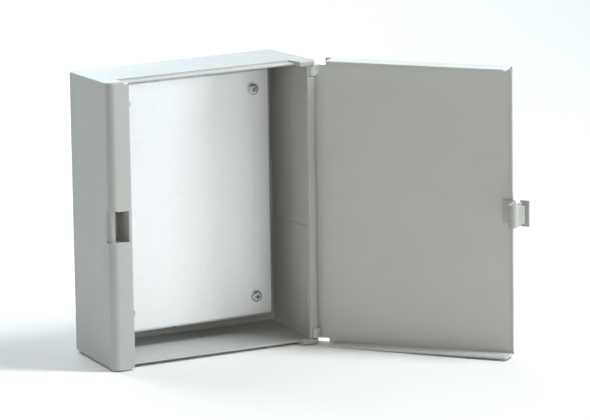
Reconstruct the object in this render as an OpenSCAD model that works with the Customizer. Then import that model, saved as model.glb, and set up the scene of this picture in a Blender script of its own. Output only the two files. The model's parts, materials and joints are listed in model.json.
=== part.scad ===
// Small wall enclosure for alarm equipment: a drafted moulded case with a flanged
// hinged door, a snap latch on the door's free edge and a steel mounting plate inside.
// The origin is the centre of the wall-hole pattern on the back face. The back face
// lies in y = 0, the front looks along -Y and +Z is up.

/* [Case] */
// Width of the case at its front
body_w = 200; // [190:1:215]
// Height of the case at its front
body_h = 250; // [240:1:265]
// Depth of the case without the door
body_d = 82; // [76:1:95]
// Wall thickness of the moulding
wall = 2.8; // [2.4:0.1:3.2]
// How far each side slopes in from front to back
draft_inset = 2.7; // [1.5:0.1:3.2]
// Radius of the two upright front corners
front_corner_r = 7; // [5:0.5:8]
// Radius of the corners at the back
back_corner_r = 3; // [2:0.5:5]
// Radius of the long edges at top and bottom of the front
front_edge_r = 1.4; // [0.8:0.1:1.8]

/* [Front frame] */
// Width of the stile on the latch side
latch_stile_w = 20.4; // [19.5:0.1:22]
// Width of the stile on the hinge side
hinge_stile_w = 10; // [9.8:0.1:10.4]
// Thickness of both stiles
stile_t = 5.4; // [5:0.1:5.6]
// Where the recess for the door's flanges starts on the latch side
recess_start = 15.5; // [14:0.1:16]
// How far the recess runs back from the front
recess_d = 15.5; // [15.3:0.1:17]
// How far the recess steps in from the outer face
recess_step = 2.2; // [2:0.1:2.8]
// How far the lip stands back between the stiles
lip_setback = 7.5; // [6:0.1:9]
// Thickness of the top and bottom walls at the front plane
cap_wall = 3.5; // [3.4:0.1:4]
// Length of the solid hinge bridges at the front
bridge_w = 16.7; // [16.4:0.1:17]
// How far the bridges' inner ends slant towards the latch side over the recess
bridge_slant = 3.1; // [2.5:0.1:3.2]
// Thickness of the hinge bridges
bridge_t = 4.6; // [4.4:0.1:4.8]

/* [Hinge] */
// Distance of the hinge axis from the side face
axis_from_side = 3.8; // [3.7:0.1:4]
// Distance of the hinge axis from the front plane
axis_from_front = 5; // [4.8:0.1:5.2]
// Radius of the hinge pins
pin_r = 1.25; // [1.1:0.05:1.35]
// Radial clearance of the pins in the door's lugs
pin_clearance = 0.05; // [0.03:0.01:0.08]
// Length of each hinge pin
pin_len = 11.8; // [9:0.1:12]
// Height of the door's lugs
lug_h = 9; // [7:0.1:9.5]
// Angle at which the door stands open
door_open = 133; // [0:1:139]

/* [Door] */
// How far the door stands over the case at top and bottom
door_overhang = 1.15; // [0.8:0.05:1.5]
// Distance of the door's outer face from the front plane
door_front = 4; // [3.6:0.1:4.2]
// Thickness of the door panel and its flanges
door_t = 2; // [1.8:0.1:2.2]
// Where the free edge lies when the door is shut
door_free_x = 17.8; // [17.5:0.1:18.2]
// How far the flange tips reach behind the front plane
flange_reach = 14.9; // [14:0.1:15]
// How far the flanges stand in from the free edge
flange_set_in = 1.8; // [1.2:0.1:2.4]
// Where the flanges end on the hinge side
flange_end_x = 179.6; // [178:0.1:180]
// Where the notches at the panel's hinge corners start
notch_x = 185.4; // [184:0.1:187]
// Depth of the panel's upper notch
notch_top = 5.6; // [3:0.1:6]
// Depth of the panel's lower notch
notch_bottom = 3; // [2:0.1:4]

/* [Latch] */
// Width of the latch spring's bend
spring_w = 8.15; // [7.8:0.05:8.4]
// Thickness of the latch spring
spring_t = 1.8; // [1.6:0.1:2]
// Height of the latch spring
spring_h = 20; // [18:0.5:21]
// How far the spring's bend reaches behind the front plane
spring_reach = 19.5; // [18:0.5:21]
// Outer face of the latch arm, measured from the case's side
arm_x = 8.7; // [8.6:0.1:8.8]
// Height of the finger tab
tab_h = 22.8; // [21:0.2:24]
// Length of the finger tab out from the arm's inner face
tab_len = 8.3; // [8:0.1:8.4]
// Thickness of the finger tab
tab_t = 2; // [1.8:0.1:2]
// Height of the catch tooth
tooth_h = 15.4; // [13:0.2:17]
// Width of the latch window
window_w = 11; // [10.8:0.1:11.2]
// Height of the latch window
window_h = 27; // [25:0.5:29]
// How far the catch box reaches behind the front plane
catch_box_d = 24; // [22.5:0.5:28]

/* [Mounting plate] */
// Width of the plate
plate_w = 153; // [140:1:155]
// Height of the plate
plate_h = 220; // [205:1:222]
// Thickness of the sheet
plate_t = 1.5; // [1.2:0.1:2]
// Distance of the plate's face behind the front plane
plate_set_back = 48; // [46:0.5:52]
// Height of the plate's centre above the case's centre
plate_lift = 4; // [2:0.5:5]
// Outside radius of the bends
bend_r = 3; // [2.4:0.1:3.4]
// Depth of the folded edges
fold_d = 12; // [8:0.5:15]
// Sideways spacing of the plate screws
screw_dx = 123; // [115:0.5:126]
// Upright spacing of the plate screws
screw_dz = 183.5; // [175:0.5:190]

/* [Fasteners] */
// Radius of the M5 pan head
head_r = 4.75; // [4.5:0.05:5]
// Height of the pan head
head_h = 3.4; // [3:0.1:3.7]
// Radius of the screw's shank
shank_r = 2.45; // [2.4:0.01:2.47]
// Length of the screw below its head
shank_len = 12; // [10:0.5:14]
// Radius of the round posts that carry the plate
post_r = 5.5; // [5.2:0.1:6.5]
// Outer radius of the brass inserts
insert_r = 3.5; // [3.3:0.1:3.8]
// Length of the brass inserts
insert_len = 9.5; // [8:0.5:10]

/* [Wall holes] */
// Sideways spacing of the wall holes
hole_dx = 90; // [70:5:100]
// Upright spacing of the wall holes
hole_dz = 200; // [190:5:210]
// Radius of the wall holes
hole_r = 2.75; // [2.25:0.25:3.25]

/* [Hidden] */
$fn = 48;
case_colour = [0.71, 0.73, 0.72];
steel_colour = [0.80, 0.82, 0.83];
brass_colour = [0.78, 0.64, 0.32];
over = 1;
gap = 0.3;
hinge_x = body_w - axis_from_side;
hinge_y = axis_from_front;
lug_r = 4.4;
lug_out = 2.9;
lug_side = hinge_x - lug_r - 0.1;
lug_z = bridge_t + gap;
panel_end_x = hinge_x + 0.6;
panel_y = door_t - door_front;
pocket_x = lug_side - gap;
pocket_d = 14.6;
pocket_h = lug_h + 2 * gap + 0.1;
bridge_x = body_w - bridge_w;
mid_z = body_h / 2;
window_x = 6.2;
catch_box_t = 1.5;
catch_side = wall + gap + taper(catch_box_d);
recess_floor_y = 3.5;
recess_floor_x = 1.9;
grip_h = window_h + 1;
grip_d = 8.7;
tab_y = 1;
tooth_x = 5;
tooth_y = stile_t + 1;
spring_r = spring_w / 2;
spring_x = arm_x + spring_r;
spring_y = spring_reach - spring_r;
arm_mid_x = arm_x + spring_t / 2;
plate_back = plate_set_back + plate_t;
plate_z = mid_z + plate_lift;
band_half = 24.5;
band_t = 0.6;
screw_clear_r = 2.75;

// Inset of a drafted face at distance y behind the front plane.
function taper(y) = draft_inset * y / body_d;

// Points along an arc, both ends included.
function arc(c, r, from, to, steps = 10) =
    [for (i = [0 : steps])
        let (a = from + (to - from) * i / steps) [c[0] + r * cos(a), c[1] + r * sin(a)]];

// A drafted outline across the case: span wide, margin in from the outer face.
function drafted_outline(span, margin, y0, y1, r0, r1) =
    let (a0 = margin + taper(y0), a1 = margin + taper(y1))
    concat(
        arc([a0 + r0, y0 + r0], r0, 180, 270),
        arc([span - a0 - r0, y0 + r0], r0, 270, 360),
        arc([span - a1 - r1, y1 - r1], r1, 0, 90),
        arc([a1 + r1, y1 - r1], r1, 90, 180));

// Moves children from the case's lower left front corner to the part's origin.
module in_case() translate([-body_w / 2, -body_d, -body_h / 2]) children();

// Draws children at the bottom and again at the top, mirrored about mid height.
module top_and_bottom() {
    children();
    translate([0, 0, body_h]) mirror([0, 0, 1]) children();
}

// Swings children that are drawn with the door shut to where the door stands.
module opened()
    in_case()
        translate([hinge_x, hinge_y, 0]) rotate([0, 0, door_open])
            translate([-hinge_x, -hinge_y, 0]) children();

// Turns a shape drawn in height and depth into an upright slab of width w.
module across(w) translate([w, 0, 0]) rotate([0, -90, 0]) linear_extrude(w) children();

// A rod along the depth of the case, from y0 to y1.
module rod(x, z, y0, y1, r)
    translate([x, y0, z]) rotate([-90, 0, 0]) cylinder(h = y1 - y0, r = r);

// Places children at the four corners of a rectangle on the case's centre line.
module at_four(dx, dz, z)
    for (sx = [-1, 1], sz = [-1, 1])
        translate([body_w / 2 + sx * dx / 2, 0, z + sz * dz / 2]) children();

// A block with four drafted sides; side_in and cap_in are its margins at y = 0.
module drafted_block(side_in, cap_in, y0, y1, side_r, edge_r, back_r)
    intersection() {
        linear_extrude(body_h)
            polygon(drafted_outline(body_w, side_in, y0, y1, side_r, back_r));
        across(body_w)
            polygon(drafted_outline(body_h, cap_in, y0, y1, edge_r, back_r));
    }

// The space inside the case and the opening between the stiles and the bridges.
module case_cavity() {
    drafted_block(wall, cap_wall, stile_t, body_d - wall, 0.5, 0.5, back_corner_r);
    translate([latch_stile_w, -over, bridge_t])
        cube([body_w - latch_stile_w - hinge_stile_w, lip_setback + over,
            body_h - 2 * bridge_t]);
}

// What is cut away in front of a depth, from x0 to the slanted ends of the bridges.
module between_bridges(x0, depth, height)
    linear_extrude(height)
        polygon([[x0, -over], [bridge_x, -over], [bridge_x, 0],
            [bridge_x - bridge_slant * depth / recess_d, depth], [x0, depth]]);

// The cuts in the front that take the door's flanges and set the lip back.
module flange_recess() {
    top_and_bottom()
        translate([0, 0, -over]) between_bridges(recess_start, recess_d, recess_step + over);
    translate([0, 0, -over]) between_bridges(latch_stile_w, lip_setback, body_h + 2 * over);
}

// The corner pocket that a door lug turns in, and the hole for its pin.
module hinge_pocket() {
    translate([pocket_x, -over, bridge_t]) cube([body_w, pocket_d + over, pocket_h]);
    translate([hinge_x, hinge_y, -over]) cylinder(h = bridge_t + 2 * over, r = pin_r);
}

// The window the latch enters, and the finger recess round the corner beside it.
module latch_window() {
    translate([window_x, -over, mid_z - window_h / 2])
        cube([window_w, stile_t + 2 * over, window_h]);
    difference() {
        translate([-over, -over, mid_z - grip_h / 2])
            cube([window_x + over + 0.1, grip_d + over, grip_h]);
        translate([recess_floor_x, recess_floor_y, 0]) cube([body_w, body_d, body_h]);
    }
}

// The closed box behind the window that the latch snaps into, before it is hollowed.
module catch_box()
    translate([wall, stile_t - over, mid_z - window_h / 2 - catch_box_t])
        cube([window_x + window_w + catch_box_t - wall, catch_box_d - stile_t + over,
            window_h + 2 * catch_box_t]);
module catch_box_hollow()
    translate([catch_side, stile_t, mid_z - window_h / 2])
        cube([window_x + window_w - catch_side, catch_box_d - catch_box_t - stile_t, window_h]);

// A shallow band in the inside of the hinge-side wall.
module wall_band() {
    near = body_w - wall - taper(stile_t);
    far = body_w - wall - taper(body_d - wall);
    translate([0, 0, mid_z - band_half]) linear_extrude(2 * band_half)
        polygon([[near - over, stile_t], [near + band_t, stile_t],
            [far + band_t, body_d - wall - 1], [far - over, body_d - wall - 1]]);
}

module case_shell() color(case_colour) in_case() difference() {
    union() {
        difference() {
            drafted_block(0, 0, 0, body_d, front_corner_r, front_edge_r, back_corner_r);
            case_cavity();
            flange_recess();
        }
        at_four(screw_dx, screw_dz, plate_z)
            rod(0, 0, plate_back, body_d - wall + 0.5, post_r);
        catch_box();
    }
    top_and_bottom() hinge_pocket();
    latch_window();
    catch_box_hollow();
    wall_band();
    at_four(hole_dx, hole_dz, mid_z)
        rod(0, 0, body_d - wall - over, body_d + over, hole_r);
    at_four(screw_dx, screw_dz, plate_z) {
        rod(0, 0, plate_back - over, plate_back + insert_len, insert_r);
        rod(0, 0, plate_back, plate_back + shank_len + 3, shank_r + 0.15);
    }
}

module hinge_pin()
    translate([hinge_x, hinge_y, gap]) cylinder(h = pin_len, r = pin_r);
module hinge_pin_lower() color(steel_colour) in_case() hinge_pin();
module hinge_pin_upper() color(steel_colour) in_case()
    translate([0, 0, body_h]) mirror([0, 0, 1]) hinge_pin();

// The plate's section: a flat face with both ends folded back.
function plate_section() =
    let (lo = -plate_h / 2, hi = plate_h / 2, inner_r = bend_r - plate_t)
    concat(
        [[lo, fold_d]], arc([lo + bend_r, bend_r], bend_r, 180, 270),
        arc([hi - bend_r, bend_r], bend_r, 270, 360), [[hi, fold_d]],
        [[hi - plate_t, fold_d]], arc([hi - bend_r, bend_r], inner_r, 0, -90),
        arc([lo + bend_r, bend_r], inner_r, 270, 180), [[lo + plate_t, fold_d]]);

module mounting_plate() color(steel_colour) in_case() difference() {
    translate([(body_w - plate_w) / 2, plate_set_back, plate_z])
        across(plate_w) polygon(plate_section());
    at_four(screw_dx, screw_dz, plate_z)
        rod(0, 0, plate_set_back - over, plate_back + over, screw_clear_r);
    // Drain and lacing notch in the lower bend
    translate([(body_w - plate_w) / 2 + 57, plate_set_back + 1.2, plate_z - plate_h / 2 - over])
        cube([4.6, 3.2, over + 3]);
}

// One pan-head screw: domed head with a cross recess in front of the plate.
module pan_screw() {
    difference() {
        translate([0, plate_set_back, 0]) rotate([90, 0, 0]) union() {
            cylinder(h = head_h - 1.6, r = head_r);
            translate([0, 0, head_h - 1.6])
                rotate_extrude()
                    polygon(concat([[0, 0]],
                        [for (i = [0 : 6])
                            let (a = 15 * i) [head_r - 1.6 + 1.6 * cos(a), 1.6 * sin(a)]],
                        [[0, 1.6]]));
        }
        for (turn = [20, 110])
            translate([0, plate_set_back - head_h, 0]) rotate([0, turn, 0])
                translate([-2.6, -over, -0.55]) cube([5.2, over + 1.9, 1.1]);
    }
    rod(0, 0, plate_set_back, plate_set_back + shank_len, shank_r);
}
module plate_screws() color(steel_colour) in_case()
    at_four(screw_dx, screw_dz, plate_z) pan_screw();

// Brass inserts pressed into the posts; the screws run in them.
module threaded_inserts() color(brass_colour) in_case()
    at_four(screw_dx, screw_dz, plate_z) difference() {
        rod(0, 0, plate_back, plate_back + insert_len, insert_r);
        rod(0, 0, plate_back - over, plate_back + insert_len + over, shank_r + 0.05);
    }

// A lug at one hinge corner: a round knuckle about the pin, flat on its outer side.
module door_lug() difference() {
    translate([0, 0, lug_z]) intersection() {
        union() {
            translate([lug_side, -door_front, 0])
                cube([lug_r + lug_out, door_front + hinge_y, lug_h]);
            translate([hinge_x, hinge_y, 0]) cylinder(h = lug_h, r = lug_r);
        }
        translate([lug_side, -door_front, 0])
            cube([hinge_x + lug_out - lug_side, door_front + hinge_y + lug_r, lug_h]);
    }
    translate([hinge_x, hinge_y, 0]) cylinder(h = lug_z + lug_h + over,
        r = pin_r + pin_clearance);
}

// The door drawn shut: flat panel, two deep flanges, a free-edge rim and two lugs.
module door() color(case_colour) opened() {
    translate([door_free_x, -door_front, -door_overhang])
        cube([notch_x - door_free_x, door_t, body_h + 2 * door_overhang]);
    translate([notch_x - over, -door_front, notch_bottom])
        cube([panel_end_x - notch_x + over, door_t, body_h - notch_bottom - notch_top]);
    top_and_bottom() {
        translate([door_free_x + flange_set_in, -door_front, -door_overhang])
            cube([flange_end_x - door_free_x - flange_set_in,
                door_front + flange_reach, door_t]);
        translate([door_free_x, panel_y - 0.1, -door_overhang])
            cube([door_t, door_front - door_t - 0.3, mid_z - spring_h / 2 - 1 + door_overhang]);
        door_lug();
    }
}

// The fixed part of the latch: foot on the panel, inner leg and the bend.
module latch_spring() color(case_colour) opened()
    translate([0, 0, mid_z - spring_h / 2]) linear_extrude(spring_h) {
        leg_x = arm_x + spring_w - spring_t;
        translate([leg_x, panel_y]) square([12, 1.4]);
        translate([leg_x, panel_y]) square([spring_t, spring_y - panel_y]);
        translate([spring_x, spring_y]) intersection() {
            difference() {
                circle(r = spring_r);
                circle(r = spring_r - spring_t);
            }
            translate([-spring_w, 0]) square([2 * spring_w, spring_w]);
        }
    }

// The moving part of the latch: outer leg, catch tooth and finger tab.
module latch_arm() color(case_colour) opened() {
    translate([0, 0, mid_z - spring_h / 2]) linear_extrude(spring_h) {
        translate([arm_x, tab_y]) square([spring_t, spring_y - tab_y - gap - spring_t / 2]);
        translate([arm_mid_x, spring_y - gap - spring_t / 2]) circle(r = spring_t / 2);
    }
    translate([0, 0, mid_z - tooth_h / 2]) linear_extrude(tooth_h)
        polygon([[arm_x + 0.2, tooth_y], [tooth_x + 0.8, tooth_y], [tooth_x, tooth_y + 0.8],
            [tooth_x, tooth_y + 1.8], [arm_x + 0.2, tooth_y + 6.5]]);
    translate([arm_x + spring_t - tab_len, tab_y, mid_z - tab_h / 2])
        cube([tab_len, tab_t, tab_h]);
}

case_shell();
hinge_pin_upper();
hinge_pin_lower();
mounting_plate();
plate_screws();
threaded_inserts();
door();
latch_spring();
latch_arm();
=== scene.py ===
import json
import math
import bmesh
import bpy
from mathutils import Matrix, Vector


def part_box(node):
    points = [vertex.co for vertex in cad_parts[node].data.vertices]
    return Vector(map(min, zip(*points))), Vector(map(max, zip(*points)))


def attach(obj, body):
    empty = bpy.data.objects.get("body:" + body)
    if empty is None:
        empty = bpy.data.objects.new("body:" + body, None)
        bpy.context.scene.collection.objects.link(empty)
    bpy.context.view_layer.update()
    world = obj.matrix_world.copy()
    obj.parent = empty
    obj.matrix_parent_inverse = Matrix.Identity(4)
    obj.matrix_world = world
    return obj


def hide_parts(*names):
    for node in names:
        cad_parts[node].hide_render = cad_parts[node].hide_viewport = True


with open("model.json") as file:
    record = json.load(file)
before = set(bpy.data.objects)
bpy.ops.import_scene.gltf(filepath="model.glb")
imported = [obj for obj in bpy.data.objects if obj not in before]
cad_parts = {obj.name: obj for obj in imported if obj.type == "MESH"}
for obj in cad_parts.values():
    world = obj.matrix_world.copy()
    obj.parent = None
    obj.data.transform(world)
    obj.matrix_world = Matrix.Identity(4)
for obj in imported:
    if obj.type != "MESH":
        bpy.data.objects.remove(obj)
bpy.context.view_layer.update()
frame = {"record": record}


# ---------------------------------------------------------------------------
# The table the enclosure stands on, the studio light and the camera.
# A matt white sheet under a softbox and a wash at the back. A high key lamp and a low
# strip lamp stand in line at the right front, and a soft fill stands at the left front.
# ---------------------------------------------------------------------------
scene = bpy.context.scene
scene.view_settings.view_transform = "Standard"
case_low, case_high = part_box("case_shell")
door_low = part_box("door")[0]

sheet_mesh = bpy.data.meshes.new("table_sheet")
sheet_bm = bmesh.new()
bmesh.ops.create_grid(sheet_bm, x_segments=1, y_segments=1, size=12)
sheet_bm.to_mesh(sheet_mesh)
sheet_bm.free()
table_sheet = bpy.data.objects.new("table_sheet", sheet_mesh)
scene.collection.objects.link(table_sheet)
table_sheet.rotation_euler.x = math.radians(1.1)
table_sheet.location = (0, case_low.y, door_low.z + 0.0006)
sheet_paint = bpy.data.materials.new("white_sheet")
sheet_paint.use_nodes = True
sheet_shader = sheet_paint.node_tree.nodes["Principled BSDF"]
sheet_shader.inputs["Base Color"].default_value = (0.76, 0.745, 0.72, 1)
sheet_shader.inputs["Roughness"].default_value = 0.9
sheet_shader.inputs["Specular IOR Level"].default_value = 0.1
sheet_mesh.materials.append(sheet_paint)

world = bpy.data.worlds.new("studio")
scene.world = world
world.use_nodes = True
world.node_tree.nodes["Background"].inputs["Color"].default_value = (0.96, 0.985, 1, 1)
world.node_tree.nodes["Background"].inputs["Strength"].default_value = 0.15


def softbox(name, place, aim, width, height, power, tint):
    lamp = bpy.data.lights.new(name, "AREA")
    lamp.shape = "RECTANGLE"
    lamp.size = width
    lamp.size_y = height
    lamp.energy = power
    lamp.color = tint
    holder = bpy.data.objects.new(name, lamp)
    holder.location = place
    holder.rotation_euler = (Vector(aim) - Vector(place)).to_track_quat("-Z", "Y").to_euler()
    scene.collection.objects.link(holder)


softbox("back_softbox", (-0.1, 1.7, 2.6), (0.05, 0.6, 0), 3, 2, 38, (0.94, 0.97, 1))
softbox("back_wash", (-0.2, 2.6, 1.2), (0, 0, 0), 3, 1.5, 88, (0.76, 0.9, 1))
softbox("key_lamp", (0.57, -0.49, 1.36), (0, -0.04, 0), 0.25, 0.8, 23, (0.9, 0.96, 1))
softbox("strip_lamp", (1.2, -0.97, 0.2), (0, -0.04, 0), 0.15, 0.9, 12.5, (0.88, 0.95, 1))
softbox("front_fill", (-1.2, -2.3, 0.7), (0, -0.04, 0), 1.2, 1.2, 16, (1, 0.98, 0.91))

camera_data = bpy.data.cameras.new("camera")
camera_data.sensor_width = 36
camera_data.lens = 305.8
camera_data.clip_end = 100
camera = bpy.data.objects.new("camera", camera_data)
camera.location = (-1.8885, -3.8105, 0.9123)
camera.rotation_euler = [math.radians(a) for a in (77.733, 0.877, -27.975)]
scene.collection.objects.link(camera)
scene.camera = camera


# ---------------------------------------------------------------------------
# Case shell: one grey moulding with drafted sides, two stiles, stepped lips at
# top and bottom, solid hinge bridges at the right corners and four plate posts.
# Drawn in millimetres from its lower left front corner, like a moulder's drawing.
# ---------------------------------------------------------------------------
MM = 0.001
case_w, case_d, case_h = [s / MM for s in (case_high - case_low)]
wall = 2.8
inset = 2.7
stile_t = 5.4
latch_stile_w = 20.4
hinge_stile_x = case_w - 10
cap_wall = 3.5
bridge_x = case_w - 16.7
bridge_slant = 3.1
bridge_t = 4.6
recess_d = 15.5
recess_step = 2.2
recess_start = 15.5
lip_y = 7.5
mid_z = case_h / 2
hinge_x, hinge_y = case_w - 3.8, 5.0
pin_r = 1.25
pocket_x, pocket_d, pocket_h = case_w - 8.6, 14.6, 9.7
drawing_to_frame = Matrix.Translation(case_low) @ Matrix.Scale(MM, 4)


def solid(bm):
    """Closes a bmesh into a loose object that can cut or be cut."""
    bmesh.ops.recalc_face_normals(bm, faces=bm.faces)
    mesh = bpy.data.meshes.new("blank")
    bm.to_mesh(mesh)
    bm.free()
    blank = bpy.data.objects.new("blank", mesh)
    scene.collection.objects.link(blank)
    return blank


def round_off(bm, radius, steps, chosen):
    """Rounds every edge that chosen(edge) picks."""
    edges = [e for e in bm.edges if chosen(e)]
    bmesh.ops.bevel(bm, geom=edges, offset=radius, offset_type="OFFSET", segments=steps,
                    profile=0.5, affect="EDGES", clamp_overlap=True)


def along(edge, axis):
    line = (edge.verts[0].co - edge.verts[1].co).normalized()
    return abs(line[axis]) > 0.99


def middle(edge):
    return (edge.verts[0].co + edge.verts[1].co) / 2


def block_mesh(low, high, back_inset=0):
    """A box from low to high whose back can be smaller all round than its front."""
    bm = bmesh.new()
    bmesh.ops.create_cube(bm, size=1)
    for v in bm.verts:
        shrink = back_inset if v.co.y > 0 else 0
        for axis in range(3):
            far = v.co[axis] > 0
            v.co[axis] = high[axis] if far else low[axis]
            if axis != 1:
                v.co[axis] += -shrink if far else shrink
    return bm


def block(low, high):
    return solid(block_mesh(low, high))


def prism(outline, axis, low, high):
    """A straight bar with the given outline, running along axis from low to high."""
    bm = bmesh.new()
    others = [a for a in range(3) if a != axis]
    ring = []
    for point in outline:
        co = [0, 0, 0]
        co[axis] = low
        co[others[0]], co[others[1]] = point
        ring.append(bm.verts.new(co))
    face = bm.faces.new(ring)
    grown = bmesh.ops.extrude_face_region(bm, geom=[face])["geom"]
    step = Vector((0, 0, 0))
    step[axis] = high - low
    moved = [g for g in grown if isinstance(g, bmesh.types.BMVert)]
    bmesh.ops.translate(bm, verts=moved, vec=step)
    return bm


def arc(centre, radius, start, end, steps=8):
    angles = [math.radians(start + (end - start) * i / steps) for i in range(steps + 1)]
    return [(centre[0] + radius * math.cos(a), centre[1] + radius * math.sin(a))
            for a in angles]


def bored(x, z, y0, y1, radius, steps=40):
    """A round bar along the depth of the case."""
    return solid(prism(arc((x, z), radius, 0, 360 - 360 / steps, steps - 1), 1, y0, y1))


def join(target, other, how):
    """Cuts other from target, or fuses it on, and throws other away."""
    tool = target.modifiers.new("join", "BOOLEAN")
    tool.operation = how
    tool.solver = "EXACT"
    tool.object = other
    scene_state = bpy.context.evaluated_depsgraph_get()
    result = bpy.data.meshes.new_from_object(target.evaluated_get(scene_state))
    target.modifiers.clear()
    target.data = result
    bpy.data.objects.remove(other)


def cut(target, other):
    join(target, other, "DIFFERENCE")


def fuse(target, other):
    join(target, other, "UNION")


def mirrored(make):
    """The shape make() draws at the bottom, and its mirror image at the top."""
    low = make()
    high = make()
    high.data.transform(Matrix.Translation((0, 0, case_h)) @ Matrix.Scale(-1, 4, (0, 0, 1)))
    high.data.flip_normals()
    return [low, high]


def finish_piece(piece, name, body, paint, edge_r, steps=3, angle=35, to_frame=None):
    """Rounds what is still sharp, sets the piece in the frame and hands it to its body."""
    piece.name = name
    piece.data.name = name
    bm = bmesh.new()
    bm.from_mesh(piece.data)
    bmesh.ops.remove_doubles(bm, verts=bm.verts, dist=0.004)
    bmesh.ops.dissolve_limit(bm, angle_limit=math.radians(0.4), verts=bm.verts, edges=bm.edges)
    bm.to_mesh(piece.data)
    bm.free()
    piece.data.transform(to_frame or drawing_to_frame)
    piece.data.materials.clear()
    piece.data.materials.append(paint)
    piece.data.shade_smooth()
    if edge_r:
        soft = piece.modifiers.new("edge_radius", "BEVEL")
        soft.width = edge_r * MM
        soft.segments = steps
        soft.limit_method = "ANGLE"
        soft.angle_limit = math.radians(angle)
        soft.use_clamp_overlap = False
        soft.harden_normals = True
    even = piece.modifiers.new("even_shading", "WEIGHTED_NORMAL")
    even.keep_sharp = True
    even.weight = 80
    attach(piece, body)
    return piece


outer = block_mesh((0, 0, 0), (case_w, case_d, case_h), inset)
round_off(outer, 7, 10, lambda e: along(e, 2) and middle(e).y < 1)
round_off(outer, 3, 6, lambda e: along(e, 2) and middle(e).y > case_d - 1)
round_off(outer, 1.5, 5,
          lambda e: len(e.link_faces) == 2
          and e.calc_face_angle(0) > 1 and not along(e, 2))
shell = solid(outer)

hollow = block_mesh((wall, stile_t, cap_wall),
                    (case_w - wall, case_d - wall, case_h - cap_wall))
for v in hollow.verts:
    lean = inset * v.co.y / case_d
    v.co.x += lean if v.co.x < case_w / 2 else -lean
    v.co.z += lean if v.co.z < mid_z else -lean
round_off(hollow, 2.2, 5, lambda e: middle(e).y > stile_t + 1)
cut(shell, solid(hollow))
cut(shell, block((latch_stile_w, -2, bridge_t),
                 (hinge_stile_x, stile_t + 2, case_h - bridge_t)))


def between_bridges(x0, depth, low, high):
    """What is cut away in front of depth, up to the slanted ends of the bridges."""
    slant_x = bridge_x - bridge_slant * depth / recess_d
    outline = [(x0, -2), (bridge_x, -2), (bridge_x, 0), (slant_x, depth), (x0, depth)]
    return prism(outline, 2, low, high)


def flange_recess():
    bm = between_bridges(recess_start, recess_d, -4, recess_step)
    round_off(bm, 0.7, 4, lambda e: middle(e).y > recess_d - 0.1 and middle(e).z > -3
              and not along(e, 2))
    return solid(bm)


def lip_set_back():
    return solid(between_bridges(latch_stile_w, lip_y, -2, case_h + 2))


cut(shell, lip_set_back())


def lug_pocket():
    return block((pocket_x, -2, bridge_t), (case_w + 2, pocket_d, bridge_t + pocket_h))


def pin_hole():
    hole = arc((hinge_x, hinge_y), pin_r, 0, 345, 23)
    return solid(prism(hole, 2, -1, bridge_t + 1))


for make in (flange_recess, lug_pocket, pin_hole):
    for cutter in mirrored(make):
        cut(shell, cutter)

stile_edge_r = 1.2
edge = [(latch_stile_w + 1, -1), (latch_stile_w + 1, stile_edge_r)]
edge += arc((latch_stile_w - stile_edge_r, stile_edge_r), stile_edge_r, 0, -90)
edge += [(latch_stile_w - stile_edge_r, -1)]
cut(shell, solid(prism(edge, 2, -1, case_h + 1)))
grip_half, window_half = 14, 13.5
grip_outline = ([(-2, -2), (6.3, -2), (6.3, 3.5)] + arc((6, 7.6), 4.1, 270, 180, 8)
                + [(1.9, 8.7), (-2, 8.7)])
grip = prism(grip_outline, 2, mid_z - grip_half, mid_z + grip_half)
round_off(grip, 3.4, 6, lambda e: along(e, 0) and middle(e).y > 8)
cut(shell, solid(grip))

near_wall = case_w - wall - inset * stile_t / case_d
far_wall = case_w - wall - inset * (case_d - wall) / case_d
band_half = 24.5
band = [(near_wall - 1, stile_t), (near_wall + 0.6, stile_t),
        (far_wall + 0.6, case_d - wall - 1), (far_wall - 1, case_d - wall - 1)]
cut(shell, solid(prism(band, 2, mid_z - band_half, mid_z + band_half)))

plate_low, plate_high = [(drawing_to_frame.inverted() @ corner) for corner in
                         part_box("mounting_plate")]
plate_mid = (plate_low + plate_high) / 2
screw_dx, screw_dz = 123, 183.5
plate_t = 1.5
screw_spots = [(plate_mid.x + sx * screw_dx / 2, plate_mid.z + sz * screw_dz / 2)
               for sx in (-1, 1) for sz in (-1, 1)]
post_y = plate_low.y + plate_t
post_r, insert_r, insert_len, screw_hole_r, wall_hole_r = 5.5, 3.5, 9.5, 2.6, 2.75
for x, z in screw_spots:
    post = prism(arc((x, z), post_r, 0, 354, 59), 1, post_y, case_d - wall + 0.5)
    round_off(post, 0.5, 2, lambda e: middle(e).y < post_y + 0.1)
    fuse(shell, solid(post))

window_low, window_high = 6.2, 17.2
box_wall, box_d = 1.5, 24
fuse(shell, block((wall, stile_t - 1, mid_z - window_half - box_wall),
                  (window_high + box_wall, box_d, mid_z + window_half + box_wall)))
cut(shell, block((wall + 1.1, stile_t, mid_z - window_half),
                 (window_high, box_d - box_wall, mid_z + window_half)))
cut(shell, block((window_low, -2, mid_z - window_half),
                 (window_high, stile_t + 2, mid_z + window_half)))

for x, z in screw_spots:
    cut(shell, bored(x, z, post_y - 1, post_y + insert_len, insert_r))
    cut(shell, bored(x, z, post_y + 9, post_y + 15, screw_hole_r, 32))
for sx in (-45, 45):
    for sz in (-100, 100):
        cut(shell, bored(case_w / 2 + sx, mid_z + sz, case_d - wall - 2, case_d + 2,
                         wall_hole_r))


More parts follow.
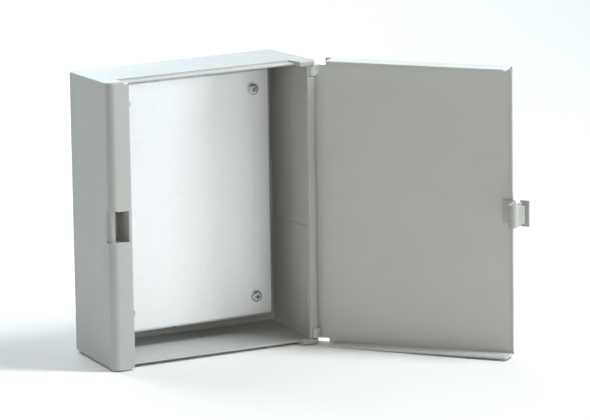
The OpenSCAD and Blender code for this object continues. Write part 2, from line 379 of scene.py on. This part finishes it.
def moulded_plastic(name, colour, shine, grain):
    """Matt moulding: faint mottling, a fine spark-eroded grain and a few dull rub marks."""
    paint = bpy.data.materials.new(name)
    paint.use_nodes = True
    nodes, links = paint.node_tree.nodes, paint.node_tree.links
    shader = nodes["Principled BSDF"]
    shader.inputs["Specular IOR Level"].default_value = 0.42
    place = nodes.new("ShaderNodeTexCoord")

    def noise(scale, detail, stretch=(1, 1, 1)):
        shift = nodes.new("ShaderNodeMapping")
        shift.inputs["Scale"].default_value = stretch
        texture = nodes.new("ShaderNodeTexNoise")
        texture.inputs["Scale"].default_value = scale
        texture.inputs["Detail"].default_value = detail
        links.new(place.outputs["Object"], shift.inputs["Vector"])
        links.new(shift.outputs["Vector"], texture.inputs["Vector"])
        return texture.outputs["Fac"]

    def ramp(source, low, high, low_at=0.3, high_at=0.7):
        scale = nodes.new("ShaderNodeValToRGB")
        scale.color_ramp.elements[0].position = low_at
        scale.color_ramp.elements[1].position = high_at
        scale.color_ramp.elements[0].color = (*low, 1)
        scale.color_ramp.elements[1].color = (*high, 1)
        links.new(source, scale.inputs["Fac"])
        return scale.outputs["Color"]

    darker = [c * 0.985 for c in colour]
    lighter = [c * 1.015 for c in colour]
    links.new(ramp(noise(34, 4), darker, lighter), shader.inputs["Base Color"])
    rubbed = ramp(noise(60, 5, (1, 1, 0.18)), [shine] * 3, [shine + 0.1] * 3, 0.42, 0.62)
    links.new(rubbed, shader.inputs["Roughness"])
    bump = nodes.new("ShaderNodeBump")
    bump.inputs["Strength"].default_value = grain
    bump.inputs["Distance"].default_value = 0.00008
    links.new(noise(2600, 2), bump.inputs["Height"])
    links.new(bump.outputs["Normal"], shader.inputs["Normal"])
    return paint


case_grey = moulded_plastic("case_grey", (0.425, 0.43, 0.41), 0.44, 0.22)
finish_piece(shell, "case_moulding", "case", case_grey, 0.4)
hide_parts("case_shell")


# ---------------------------------------------------------------------------
# Door: a flat moulded panel with deep flanges along its top and bottom, a thin
# rim on the free edge and a lug at each hinge corner that turns on a steel pin.
# Drawn shut on the same drawing, then swung open about the hinge.
# ---------------------------------------------------------------------------
joints = {j["name"]: j for j in frame["record"]["behaviour"]["joints"]}
hinge = Vector(joints["door_hinge"]["pos_m"])
open_angle = math.radians(-joints["door_hinge"]["range_deg"][0])
swing = (Matrix.Translation(hinge) @ Matrix.Rotation(open_angle, 4, "Z")
         @ Matrix.Translation(-hinge) @ drawing_to_frame)
overhang = 1.15
free_x, flange_end = 17.8, 179.6
panel_front, panel_back = -4.0, -2.0
flange_tip = 14.9
notch_x = 185.4
notch_top, notch_bottom = 5.6, 3
panel_end = hinge_x + 0.6

panel_outline = [(notch_x, -overhang), (notch_x, notch_bottom), (panel_end, notch_bottom),
                 (panel_end, case_h - notch_top), (notch_x, case_h - notch_top),
                 (notch_x, case_h + overhang)]
corner_r = 1.6
panel_outline += arc((free_x + corner_r, case_h + overhang - corner_r), corner_r, 90, 180)
panel_outline += arc((free_x + corner_r, corner_r - overhang), corner_r, 180, 270)
panel = prism(panel_outline, 1, panel_front, panel_back)
round_off(panel, 0.9, 4, lambda e: middle(e).y < panel_front + 0.01 and not along(e, 1))
door = solid(panel)


def flange():
    bm = block_mesh((free_x + 1.8, panel_front + 0.9, -overhang),
                    (flange_end, flange_tip, 2 - overhang))
    round_off(bm, 2.2, 6, lambda e: along(e, 2) and middle(e).y > 10 and middle(e).x < 100)
    round_off(bm, 0.8, 3, lambda e: along(e, 2) and middle(e).y > 10 and middle(e).x > 170)
    return solid(bm)


def free_edge_rim():
    return block((free_x, panel_back - 0.3, corner_r + 0.4),
                 (free_x + 2, -0.4, mid_z - 11))


def lug():
    """A round knuckle about the pin, flat on its outer side."""
    low, lug_r, lug_out = bridge_t + 0.3, 4.4, 2.9
    side = hinge_x - lug_r
    flat = math.degrees(math.acos(lug_out / lug_r))
    outline = ([(side, panel_front + 0.5), (hinge_x + lug_out, panel_front + 0.5)]
               + arc((hinge_x, hinge_y), lug_r, flat, 180, 20))
    return solid(prism(outline, 2, low, low + 9))


def lug_bore():
    return solid(prism(arc((hinge_x, hinge_y), 1.3, 0, 345, 23), 2, 2, bridge_t + 10.3))


for make in (flange, free_edge_rim, lug):
    for part in mirrored(make):
        fuse(door, part)
for part in mirrored(lug_bore):
    cut(door, part)
# The door grey is a lighter copy of the case grey: painted light that makes up for light the
# door lacks.
finish_piece(door, "door_moulding", "door",
             moulded_plastic("door_grey_painted_light", (0.51, 0.515, 0.49), 0.46, 0.2), 0.4,
             to_frame=swing)
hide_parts("door")


# ---------------------------------------------------------------------------
# Hinge pins: two short drawn-steel rods with chamfered ends, pushed through the
# bridges of the case from outside and running in the lugs of the door.
# ---------------------------------------------------------------------------
def turned_steel(name, colour, shine, scale):
    """Bright metal with a fine mottle in its tint and roughness."""
    metal = bpy.data.materials.new(name)
    metal.use_nodes = True
    nodes, links = metal.node_tree.nodes, metal.node_tree.links
    shader = nodes["Principled BSDF"]
    shader.inputs["Metallic"].default_value = 1
    place = nodes.new("ShaderNodeTexCoord")
    mottle = nodes.new("ShaderNodeTexNoise")
    mottle.inputs["Scale"].default_value = scale
    mottle.inputs["Detail"].default_value = 4
    links.new(place.outputs["Object"], mottle.inputs["Vector"])
    tint = nodes.new("ShaderNodeValToRGB")
    tint.color_ramp.elements[0].color = (*[c * 0.86 for c in colour], 1)
    tint.color_ramp.elements[1].color = (*colour, 1)
    links.new(mottle.outputs["Fac"], tint.inputs["Fac"])
    links.new(tint.outputs["Color"], shader.inputs["Base Color"])
    rough = nodes.new("ShaderNodeMapRange")
    rough.inputs["To Min"].default_value = shine
    rough.inputs["To Max"].default_value = shine + 0.14
    links.new(mottle.outputs["Fac"], rough.inputs["Value"])
    links.new(rough.outputs["Result"], shader.inputs["Roughness"])
    return metal


def lathe(profile, steps=48):
    """Turns a profile of (radius, height) points about the Z axis."""
    bm = bmesh.new()
    rings = []
    for radius, height in profile:
        if radius < 1e-6:
            rings.append([bm.verts.new((0, 0, height))])
            continue
        rings.append([bm.verts.new((*spot, height)) for spot in
                      arc((0, 0), radius, 0, 360 - 360 / steps, steps - 1)])
    for low, high in zip(rings, rings[1:]):
        for i in range(steps):
            a, b = low[i % len(low)], low[(i + 1) % len(low)]
            c, d = high[(i + 1) % len(high)], high[i % len(high)]
            corners = list(dict.fromkeys([a, b, c, d]))
            if len(corners) > 2:
                bm.faces.new(corners)
    return bm


pin_steel = turned_steel("pin_steel", (0.60, 0.61, 0.62), 0.28, 900)
pin_profile = [(0, 0.3), (0.95, 0.3), (1.25, 0.6), (1.25, 11.7), (0.95, 12.1), (0, 12.1)]
for end, node in (("lower", "hinge_pin_lower"), ("upper", "hinge_pin_upper")):
    pin = solid(lathe(pin_profile, 32))
    pin.data.transform(Matrix.Translation((hinge_x, hinge_y, 0)))
    if end == "upper":
        pin.data.transform(Matrix.Translation((0, 0, case_h)) @ Matrix.Scale(-1, 4, (0, 0, 1)))
        pin.data.flip_normals()
    finish_piece(pin, "pin_" + end, "case", pin_steel, 0)
    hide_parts(node)


# ---------------------------------------------------------------------------
# Latch: a springy moulded hook on the inside of the free edge. A foot on the
# panel carries the inner leg and the bend; the outer leg ends in a finger tab
# and has a catch tooth that hooks behind the latch stile.
# ---------------------------------------------------------------------------
arm_x, spring_w, spring_t = 8.7, 8.15, 1.8
latch_half, tab_half, tooth_half = 10, 11.4, 7.7
bend_x, bend_y = arm_x + spring_w / 2, 19.5 - spring_w / 2
inner_x = arm_x + spring_w - spring_t
latch_plastic = moulded_plastic("latch_grey", (0.41, 0.415, 0.395), 0.36, 0.1)

spring_outline = ([(inner_x, panel_back), (inner_x + 11, panel_back), (inner_x + 12, -1.4),
                   (inner_x + 12, -0.6), (inner_x + 3.0, -0.6)]
                  + arc((inner_x + 3.0, 0.6), 1.2, 270, 180, 5)
                  + arc((bend_x, bend_y), spring_w / 2, 0, 180, 24)
                  + arc((bend_x, bend_y), spring_w / 2 - spring_t, 180, 0, 24))
spring = solid(prism(spring_outline, 2, mid_z - latch_half, mid_z + latch_half))
finish_piece(spring, "latch_hook", "door", latch_plastic, 0.35,
             to_frame=swing)
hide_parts("latch_spring")

root_y = bend_y - 0.3 - spring_t / 2
leg_outline = ([(arm_x, 1.6), (arm_x + spring_t, 1.6)]
               + arc((arm_x + spring_t / 2, root_y), spring_t / 2, 0, 180, 12))
leg = solid(prism(leg_outline, 2, mid_z - latch_half, mid_z + latch_half))
tab_outline = ([(arm_x + spring_t, 1), (arm_x + spring_t, 3)]
               + arc((3.2, 2), 1, 90, 270, 8))
fuse(leg, solid(prism(tab_outline, 2, mid_z - tab_half, mid_z + tab_half)))
tooth_outline = [(arm_x + 0.4, 6.4), (5.8, 6.4), (5, 7.2), (5, 8.2), (arm_x + 0.4, 12.9)]
fuse(leg, solid(prism(tooth_outline, 2, mid_z - tooth_half, mid_z + tooth_half)))
finish_piece(leg, "latch_tab", "latch",
             moulded_plastic("tab_grey", (0.39, 0.385, 0.36), 0.38, 0.1), 0.3,
             to_frame=swing)
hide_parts("latch_arm")


# ---------------------------------------------------------------------------
# Mounting plate: 1.5 mm zinc-coated sheet with its top and bottom edges folded
# back, clearance holes at the corners and a small notch in the lower fold.
# ---------------------------------------------------------------------------
fold_r = 3
trim_r = 1.8
clearance_r = 2.75
fold_d = plate_high.y - plate_low.y
lo_z, hi_z, face_y = plate_low.z, plate_high.z, plate_low.y
inner_r = fold_r - plate_t
section = ([(face_y + fold_d, lo_z)] + arc((face_y + fold_r, lo_z + fold_r), fold_r, 270, 180)
           + arc((face_y + fold_r, hi_z - fold_r), fold_r, 180, 90)
           + [(face_y + fold_d, hi_z), (face_y + fold_d, hi_z - plate_t)]
           + arc((face_y + fold_r, hi_z - fold_r), inner_r, 90, 180)
           + arc((face_y + fold_r, lo_z + fold_r), inner_r, 180, 270)
           + [(face_y + fold_d, lo_z + plate_t)])
plate = solid(prism(section, 0, plate_low.x, plate_high.x))
trim = [(plate_low.x, lo_z), (plate_high.x, lo_z), (plate_high.x, hi_z), (plate_low.x, hi_z)]
sheet_corners = []
for (x, z), start in zip(trim, (180, 270, 0, 90)):
    centre = (x + (trim_r if start in (180, 90) else -trim_r),
              z + (trim_r if start in (180, 270) else -trim_r))
    sheet_corners += arc(centre, trim_r, start, start + 90, 6)
join(plate, solid(prism(sheet_corners, 1, face_y - 1, face_y + fold_d + 1)), "INTERSECT")
for x, z in screw_spots:
    cut(plate, bored(x, z, face_y - 1, post_y + 1, clearance_r))
fold_notch_x, fold_notch_w = plate_low.x + 57, 4.6
cut(plate, block((fold_notch_x, face_y + 1.2, lo_z - 1),
                 (fold_notch_x + fold_notch_w, face_y + 4.4, lo_z + 3)))

zinc = bpy.data.materials.new("zinc_sheet")
zinc.use_nodes = True
zinc_nodes, zinc_links = zinc.node_tree.nodes, zinc.node_tree.links
zinc_shader = zinc_nodes["Principled BSDF"]
zinc_shader.inputs["Metallic"].default_value = 0.95
zinc_place = zinc_nodes.new("ShaderNodeTexCoord")
grain = zinc_nodes.new("ShaderNodeTexNoise")
grain.inputs["Scale"].default_value = 1500
grain.inputs["Detail"].default_value = 3
spangle = zinc_nodes.new("ShaderNodeTexVoronoi")
spangle.inputs["Scale"].default_value = 260
zinc_links.new(zinc_place.outputs["Object"], grain.inputs["Vector"])
zinc_links.new(zinc_place.outputs["Object"], spangle.inputs["Vector"])
blend = zinc_nodes.new("ShaderNodeMix")
blend.inputs["Factor"].default_value = 0.3
zinc_links.new(grain.outputs["Fac"], blend.inputs["A"])
zinc_links.new(spangle.outputs["Distance"], blend.inputs["B"])
zinc_tone = zinc_nodes.new("ShaderNodeValToRGB")
zinc_tone.color_ramp.elements[0].color = (0.84, 0.85, 0.85, 1)
zinc_tone.color_ramp.elements[1].color = (0.96, 0.965, 0.96, 1)
zinc_links.new(blend.outputs["Result"], zinc_tone.inputs["Fac"])
zinc_links.new(zinc_tone.outputs["Color"], zinc_shader.inputs["Base Color"])
zinc_rough = zinc_nodes.new("ShaderNodeMapRange")
zinc_rough.inputs["To Min"].default_value = 0.40
zinc_rough.inputs["To Max"].default_value = 0.52
zinc_links.new(blend.outputs["Result"], zinc_rough.inputs["Value"])
zinc_links.new(zinc_rough.outputs["Result"], zinc_shader.inputs["Roughness"])
zinc_bump = zinc_nodes.new("ShaderNodeBump")
zinc_bump.inputs["Strength"].default_value = 0.25
zinc_bump.inputs["Distance"].default_value = 0.00005
zinc_links.new(grain.outputs["Fac"], zinc_bump.inputs["Height"])
zinc_links.new(zinc_bump.outputs["Normal"], zinc_shader.inputs["Normal"])
finish_piece(plate, "plate_sheet", "case", zinc, 0.18, 2)
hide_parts("mounting_plate")


# ---------------------------------------------------------------------------
# Plate screws: four M5 machine screws with bright zinc-plated pan heads and a cross
# recess, driven into the brass inserts in the posts. Their zinc is painted darker as painted
# shade.
# ---------------------------------------------------------------------------
head_r, head_h = 4.75, 3.4
# Painted shade: the screw zinc is darker than bare zinc to stand in for the shade round each
# head.
screw_zinc_painted_shade = turned_steel("screw_zinc_painted_shade", (0.46, 0.47, 0.49), 0.18, 1400)
dome = arc((head_r - 1.6, head_h - 1.6), 1.6, 0, 78, 7)
head_profile = ([(0, 0), (head_r - 0.3, 0), (head_r, 0.35)] + dome
                + [(1.6, head_h - 0.01), (0, head_h)])
thread_pitch, thread_r, thread_depth = 0.8, 2.45, 0.42
shank_len, thread_steps = 12, 24


def cross_recess():
    """A tapered cross: each wing narrows towards the bottom of the recess."""
    wings = []
    for turn in (0, 90):
        bm = block_mesh((-2.5, -0.55, head_h - 1.9), (2.5, 0.55, head_h + 1))
        for v in bm.verts:
            if v.co.z < head_h - 1:
                v.co.x *= 0.42
                v.co.y *= 0.7
        bm.transform(Matrix.Rotation(math.radians(turn), 4, "Z"))
        wings.append(solid(bm))
    fuse(wings[0], wings[1])
    return wings[0]


def threaded_shank():
    """A shank whose radius rises and falls with the thread as it winds down."""
    bm = bmesh.new()
    rows = int(shank_len / thread_pitch * 5)
    rings = []
    for row in range(rows + 1):
        depth = shank_len * row / rows
        ring = []
        for i in range(thread_steps):
            turn = i / thread_steps
            phase = (depth / thread_pitch + turn) % 1
            crest = abs(2 * phase - 1)
            tip = min(1, (shank_len - depth) / 1.2)
            radius = thread_r - thread_depth * (1 - crest) - 0.8 * (1 - tip)
            angle = 2 * math.pi * turn
            ring.append(bm.verts.new((radius * math.cos(angle), radius * math.sin(angle),
                                      -depth)))
        rings.append(ring)
    for upper, lower in zip(rings, rings[1:]):
        for i in range(thread_steps):
            j = (i + 1) % thread_steps
            bm.faces.new((upper[i], upper[j], lower[j], lower[i]))
    bm.faces.new(rings[0])
    bm.faces.new(list(reversed(rings[-1])))
    return bm


for index, (x, z) in enumerate(screw_spots):
    head = solid(lathe(head_profile))
    cut(head, cross_recess())
    shank = solid(threaded_shank())
    turn = Matrix.Rotation(math.radians(25 + 37 * index), 4, "Z")
    lay = Matrix.Translation((x, face_y, z)) @ Matrix.Rotation(math.radians(90), 4, "X") @ turn
    for part in (head, shank):
        part.data.transform(lay)
    finish_piece(head, f"screw_head_{index + 1}", "case", screw_zinc_painted_shade, 0.12, 2, 40)
    finish_piece(shank, f"screw_thread_{index + 1}", "case", screw_zinc_painted_shade, 0)
    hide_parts("plate_screws")


# ---------------------------------------------------------------------------
# Threaded inserts: four turned brass sleeves with a straight knurl, pressed
# into the posts so that the screws never cut the plastic.
# ---------------------------------------------------------------------------
insert_brass = turned_steel("insert_brass", (0.78, 0.60, 0.28), 0.25, 1100)
insert_bore, knurl_steps = 2.5, 72
for index, (x, z) in enumerate(screw_spots):
    bm = bmesh.new()
    walls = []
    stations = ((insert_r - 0.25, 0), (insert_r, 0.3), (insert_r, 4.2), (insert_r - 0.35, 4.5),
                (insert_r - 0.35, 5), (insert_r, 5.3), (insert_r, insert_len - 0.3),
                (insert_r - 0.25, insert_len), (insert_bore, insert_len), (insert_bore, 0))
    for radius, depth in stations:
        knurled = radius == insert_r
        ring = []
        for i in range(knurl_steps):
            spot = radius - (0.14 if knurled and i % 2 else 0)
            angle = 2 * math.pi * i / knurl_steps
            ring.append(bm.verts.new((spot * math.cos(angle), depth, spot * math.sin(angle))))
        walls.append(ring)
    for first, second in zip(walls, walls[1:] + walls[:1]):
        for i in range(knurl_steps):
            j = (i + 1) % knurl_steps
            bm.faces.new((first[i], first[j], second[j], second[i]))
    sleeve = solid(bm)
    sleeve.data.transform(Matrix.Translation((x, post_y, z)))
    finish_piece(sleeve, f"insert_{index + 1}", "case", insert_brass, 0)
    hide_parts("threaded_inserts")
